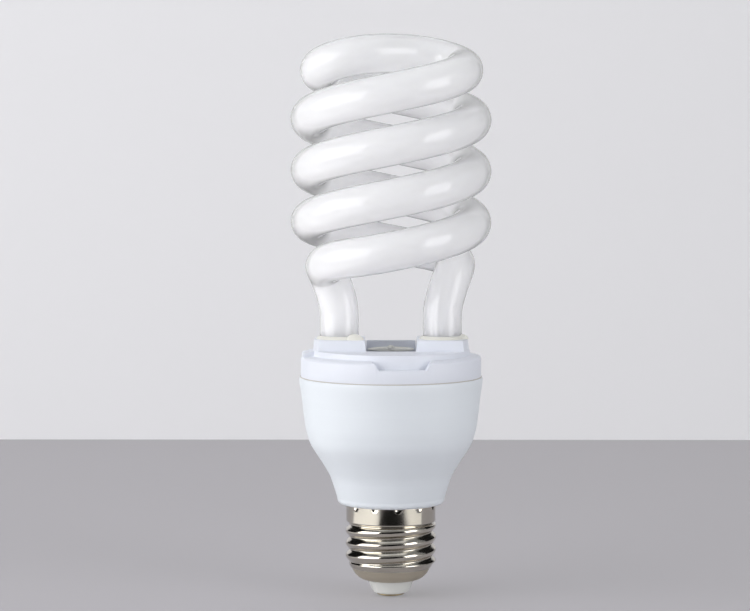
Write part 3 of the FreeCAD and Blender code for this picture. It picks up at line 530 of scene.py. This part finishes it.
def screw_shell():
    """The turned sheet, with its thread and punch marks pressed in and its thickness added."""
    bm = bmesh.new()
    chain = [bm.verts.new((radius, 0, height)) for radius, height in shell_outline()]
    edges = [bm.edges.new(pair) for pair in zip(chain, chain[1:])]
    turned_round(bm, chain, edges, CAP_ROUND_STEPS)
    bmesh.ops.remove_doubles(bm, verts=bm.verts[:], dist=0.005 * MM)
    for vert in bm.verts:
        angle = math.atan2(vert.co.y, vert.co.x)
        radius = math.hypot(vert.co.x, vert.co.y)
        pressed = radius
        if vert.co.z >= THREAD_LOW_Z:
            pressed = max(radius, THREAD_ROOT_R + thread_rise(angle, vert.co.z))
        pressed -= punch_depth(angle, vert.co.z)
        vert.co.x *= pressed / radius
        vert.co.y *= pressed / radius
    bmesh.ops.recalc_face_normals(bm, faces=bm.faces[:])
    shell = piece("screw_sheet", bm, nickel, "nickel_shell", "screw_shell")
    sheet = shell.modifiers.new("sheet", "SOLIDIFY")
    sheet.thickness = SHEET
    sheet.offset = -1


# Upper cover: the moulding's edges and inner corners are rounded, and its ring sits as high as the
# photo shows.

def risen(height):
    """The height of a point of the ring after the rise that the table gives for it."""
    for (low, low_rise), (high, high_rise) in zip(RING_RISE, RING_RISE[1:]):
        if low * MM <= height <= high * MM:
            share = (height / MM - low) / (high - low)
            return height + (low_rise + (high_rise - low_rise) * share) * MM
    return height


def in_recess(place):
    return (
        abs(place.x) < RECESS_HALF_X and abs(place.y) < RECESS_HALF_Y
        and RECESS_FLOOR_Z[0] < place.z < RECESS_FLOOR_Z[1]
    )


def soft_cover():
    """The solid cover again, with its flat faces merged, so that its edges can be rounded."""
    bm = bmesh.new()
    bm.from_mesh(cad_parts["upper_cover"].data)
    bmesh.ops.remove_doubles(bm, verts=bm.verts[:], dist=0.001 * MM)
    bmesh.ops.dissolve_limit(bm, angle_limit=math.radians(2), verts=bm.verts[:], edges=bm.edges[:])
    for vert in bm.verts:
        if math.hypot(vert.co.x, vert.co.y) > RING_INNER_R:
            vert.co.z = risen(vert.co.z)
    # Faces in the recess take the grey of painted shade.
    for face in bm.faces:
        if in_recess(face.calc_center_median()):
            face.material_index = 1
    cover = piece("soft_cover", bm, cover_plastic, "white_housing", "upper_cover")
    cover.data.materials.append(recess_painted_shade)
    soft = cover.modifiers.new("soft_edges", "BEVEL")
    soft.limit_method = "ANGLE"
    soft.angle_limit = COVER_EDGE_ANGLE
    soft.width = COVER_EDGE_R
    soft.segments = 3
    soft.harden_normals = True


def turned_ring(name, outline, material, slot):
    """A closed outline of radii and heights in millimetres, turned round the bulb's axis."""
    bm = bmesh.new()
    corners = [bm.verts.new((radius * MM, 0, height * MM)) for radius, height in outline]
    edges = [bm.edges.new(pair) for pair in zip(corners, corners[1:] + corners[:1])]
    turned_round(bm, corners, edges, RING_STEPS)
    bmesh.ops.recalc_face_normals(bm, faces=bm.faces[:])
    piece(name, bm, material, slot)


def recess_wall():
    """The low wall behind the recess between the collars, coloured grey as painted shade."""
    bm = bmesh.new()
    bmesh.ops.create_cube(bm, size=1.0)
    bmesh.ops.scale(bm, verts=bm.verts[:], vec=RECESS_WALL_SIZE)
    bmesh.ops.translate(bm, verts=bm.verts[:], vec=RECESS_WALL_PLACE)
    bmesh.ops.bevel(
        bm, geom=bm.edges[:], offset=RECESS_WALL_EDGE, affect="EDGES", segments=3, profile=0.5,
        material=-1, clamp_overlap=True,
    )
    piece("recess_wall", bm, recess_painted_shade, "white_housing")


def recess_bead():
    """A line of silicone along the foot of that wall, with a small drop on it."""
    bm = bmesh.new()
    for reach, centre in (SILICONE_LINE, SILICONE_DROP):
        ball = bmesh.ops.create_icosphere(bm, subdivisions=4, radius=1.0 * MM)["verts"]
        bmesh.ops.scale(bm, verts=ball, vec=reach)
        bmesh.ops.translate(bm, verts=ball, vec=Vector(centre) * MM)
    piece("recess_bead", bm, silicone, "silicone")


glass_tube()
screw_shell()
soft_cover()
recess_wall()
recess_bead()
turned_ring("housing_rim", RIM_OUTLINE, housing_plastic, "white_housing")
turned_ring("seam_line", SEAM_OUTLINE, seam_darker_tan, "silicone")


# Stage: a pale floor and backdrop, soft lights, and the camera of the photograph.

WALL_Y = 0.38
WALL_TOP_Z = 2.5
SET_REACH = 5.0
FLOOR_Z = -0.3 * MM
CLOTH_Z = FLOOR_Z + 0.5 * MM
CARD_Z = FLOOR_Z + 1.0 * MM
MIDDLE = (0, 0, 0.085)


def set_finish(name, colour, lift, shine=0.0):
    """A dull finish for the set, which can't be seen from behind.

    The camera sees part of the colour as an even lift, so that shadows stay soft. In the bulb's
    gloss and bounced light the colour is whole, with a shine of its own if one is given.
    """
    material = bpy.data.materials.new(name)
    material.use_nodes = True
    tree = material.node_tree
    shader = tree.nodes["Principled BSDF"]
    shader.inputs["Specular IOR Level"].default_value = 0.0
    shader.inputs["Roughness"].default_value = 0.9
    shader.inputs["Emission Strength"].default_value = 1.0
    seen = node(tree, "ShaderNodeLightPath").outputs["Is Camera Ray"]
    spared = tuple(max(share - lift, 0.0) for share in colour)
    shade = mix_colours(tree, seen, colour, spared)
    glow = mix_colours(tree, seen, (shine,) * 3, (lift,) * 3)
    behind = node(tree, "ShaderNodeNewGeometry").outputs["Backfacing"]
    front = node(tree, "ShaderNodeMath", [(0, 1.0), (1, behind)], operation="SUBTRACT")
    tree.links.new(shade, shader.inputs["Base Color"])
    tree.links.new(glow, shader.inputs["Emission Color"])
    tree.links.new(front.outputs["Value"], shader.inputs["Alpha"])
    return material


def studio_sheet(name, start, end, sweep, colour, lift, shine=0.0):
    """A flat sheet that faces the bulb: the line from start to end, carried along the sweep."""
    bm = bmesh.new()
    edge = bm.edges.new([bm.verts.new(start), bm.verts.new(end)])
    grown = bmesh.ops.extrude_edge_only(bm, edges=[edge])["geom"]
    bmesh.ops.translate(bm, verts=verts_of(grown), vec=sweep)
    bm.normal_update()
    for face in bm.faces:
        if face.normal.dot(Vector(MIDDLE) - face.calc_center_median()) < 0:
            face.normal_flip()
    mesh = bpy.data.meshes.new(name)
    bm.to_mesh(mesh)
    bm.free()
    sheet = bpy.data.objects.new(name, mesh)
    bpy.context.scene.collection.objects.link(sheet)
    mesh.materials.append(set_finish(name, colour, lift, shine))
    return sheet


def dark_cloth(name, start, end, sweep):
    """A black cloth that only shows in gloss, as the dark parts of the room do in the metal."""
    cloth = studio_sheet(name, start, end, sweep, (0.012, 0.012, 0.012), 0.0)
    cloth.visible_camera = False
    cloth.visible_diffuse = False
    cloth.visible_shadow = False


def bright_card(name, start, end, sweep, shine):
    """A white card on the table, out of the camera's sight, that lights the bulb from below."""
    card = studio_sheet(name, start, end, sweep, (0.93, 0.92, 0.9), 0.0, shine)
    card.visible_camera = False
    card.visible_shadow = False


def area_light(name, place, width, height, power):
    """A soft rectangular lamp that faces the middle of the bulb."""
    data = bpy.data.lights.new(name, "AREA")
    data.shape = "RECTANGLE"
    data.size = width
    data.size_y = height
    data.energy = power
    lamp = bpy.data.objects.new(name, data)
    bpy.context.scene.collection.objects.link(lamp)
    lamp.visible_camera = False
    lamp.location = place
    lamp.rotation_euler = (Vector(MIDDLE) - Vector(place)).to_track_quat("-Z", "Y").to_euler()


def coil_light(height):
    """A weak lamp inside the coil, for the light that the real, thin-walled tube lets through."""
    glow = bpy.data.lights.new("coil_light", "POINT")
    glow.energy = 0.0014
    glow.shadow_soft_size = 0.009
    lamp = bpy.data.objects.new("coil_light", glow)
    lamp.location = (0, 0, height)
    lamp.visible_camera = False
    lamp.visible_glossy = False
    bpy.context.scene.collection.objects.link(lamp)


across = (2 * SET_REACH, 0, 0)
studio_sheet(
    "floor", (-SET_REACH, -SET_REACH, FLOOR_Z), (-SET_REACH, SET_REACH, FLOOR_Z), across,
    (0.5, 0.485, 0.51), 0.24,
)
studio_sheet(
    "wall", (-SET_REACH, WALL_Y, FLOOR_Z), (-SET_REACH, WALL_Y, WALL_TOP_Z), across,
    (0.87, 0.865, 0.88), 0.2,
)
dark_cloth("room_cloth", (-0.75, -1.15, 0), (-0.75, -1.15, 1), (1.5, 0, 0))
dark_cloth("table_cloth", (-0.08, -0.6, CLOTH_Z), (-0.08, -0.09, CLOTH_Z), (0.18, 0, 0))
bright_card("left_card", (-0.20, -0.17, CARD_Z), (-0.20, 0.05, CARD_Z), (0.12, 0, 0), 0.45)
bright_card("right_card", (0.10, -0.17, CARD_Z), (0.10, -0.02, CARD_Z), (0.10, 0, 0), 0.3)
dark_cloth("left_cloth", (-0.25, 0.03, 0.01), (-0.25, 0.36, 0.01), (0, 0, 0.5))
dark_cloth("right_cloth", (0.25, 0.03, 0.01), (0.25, 0.36, 0.01), (0, 0, 0.5))

area_light("key", (-0.53, -0.28, 0.12), 0.70, 0.80, 5.3)
area_light("fill", (0.48, -0.36, 0.12), 0.34, 0.70, 2.4)
area_light("top", (0.0, 0.0, 0.9), 0.8, 0.8, 1.2)
for lamp_z in (0.105, 0.125, 0.145):
    coil_light(lamp_z)

world = bpy.data.worlds.new("studio")
world.use_nodes = True
sky = world.node_tree.nodes["Background"]
sky.inputs["Color"].default_value = (0.92, 0.95, 1.0, 1.0)
sky.inputs["Strength"].default_value = 0.28
bpy.context.scene.world = world

# The camera is level with the upper turns and 0.79 m away, and is tipped down to frame the bulb.
CAMERA_DISTANCE = 0.790
CAMERA_HEIGHT = 0.141
SENSOR_WIDTH = 36.0
FRAME_PIXELS = 750
FOCAL_PIXELS = 2718.0
AXIS_OFFSET_PIXELS = 16.0
TILT = math.radians(4.06)

camera_data = bpy.data.cameras.new("camera")
camera_data.sensor_width = SENSOR_WIDTH
camera_data.lens = SENSOR_WIDTH * FOCAL_PIXELS / FRAME_PIXELS
camera_data.clip_start = 0.05
camera = bpy.data.objects.new("camera", camera_data)
bpy.context.scene.collection.objects.link(camera)
camera.location = (0, -CAMERA_DISTANCE, CAMERA_HEIGHT)
camera.rotation_euler = (math.pi / 2 - TILT, 0, math.atan(AXIS_OFFSET_PIXELS / FOCAL_PIXELS))
bpy.context.scene.camera = camera

bpy.context.scene.view_settings.view_transform = "Standard"
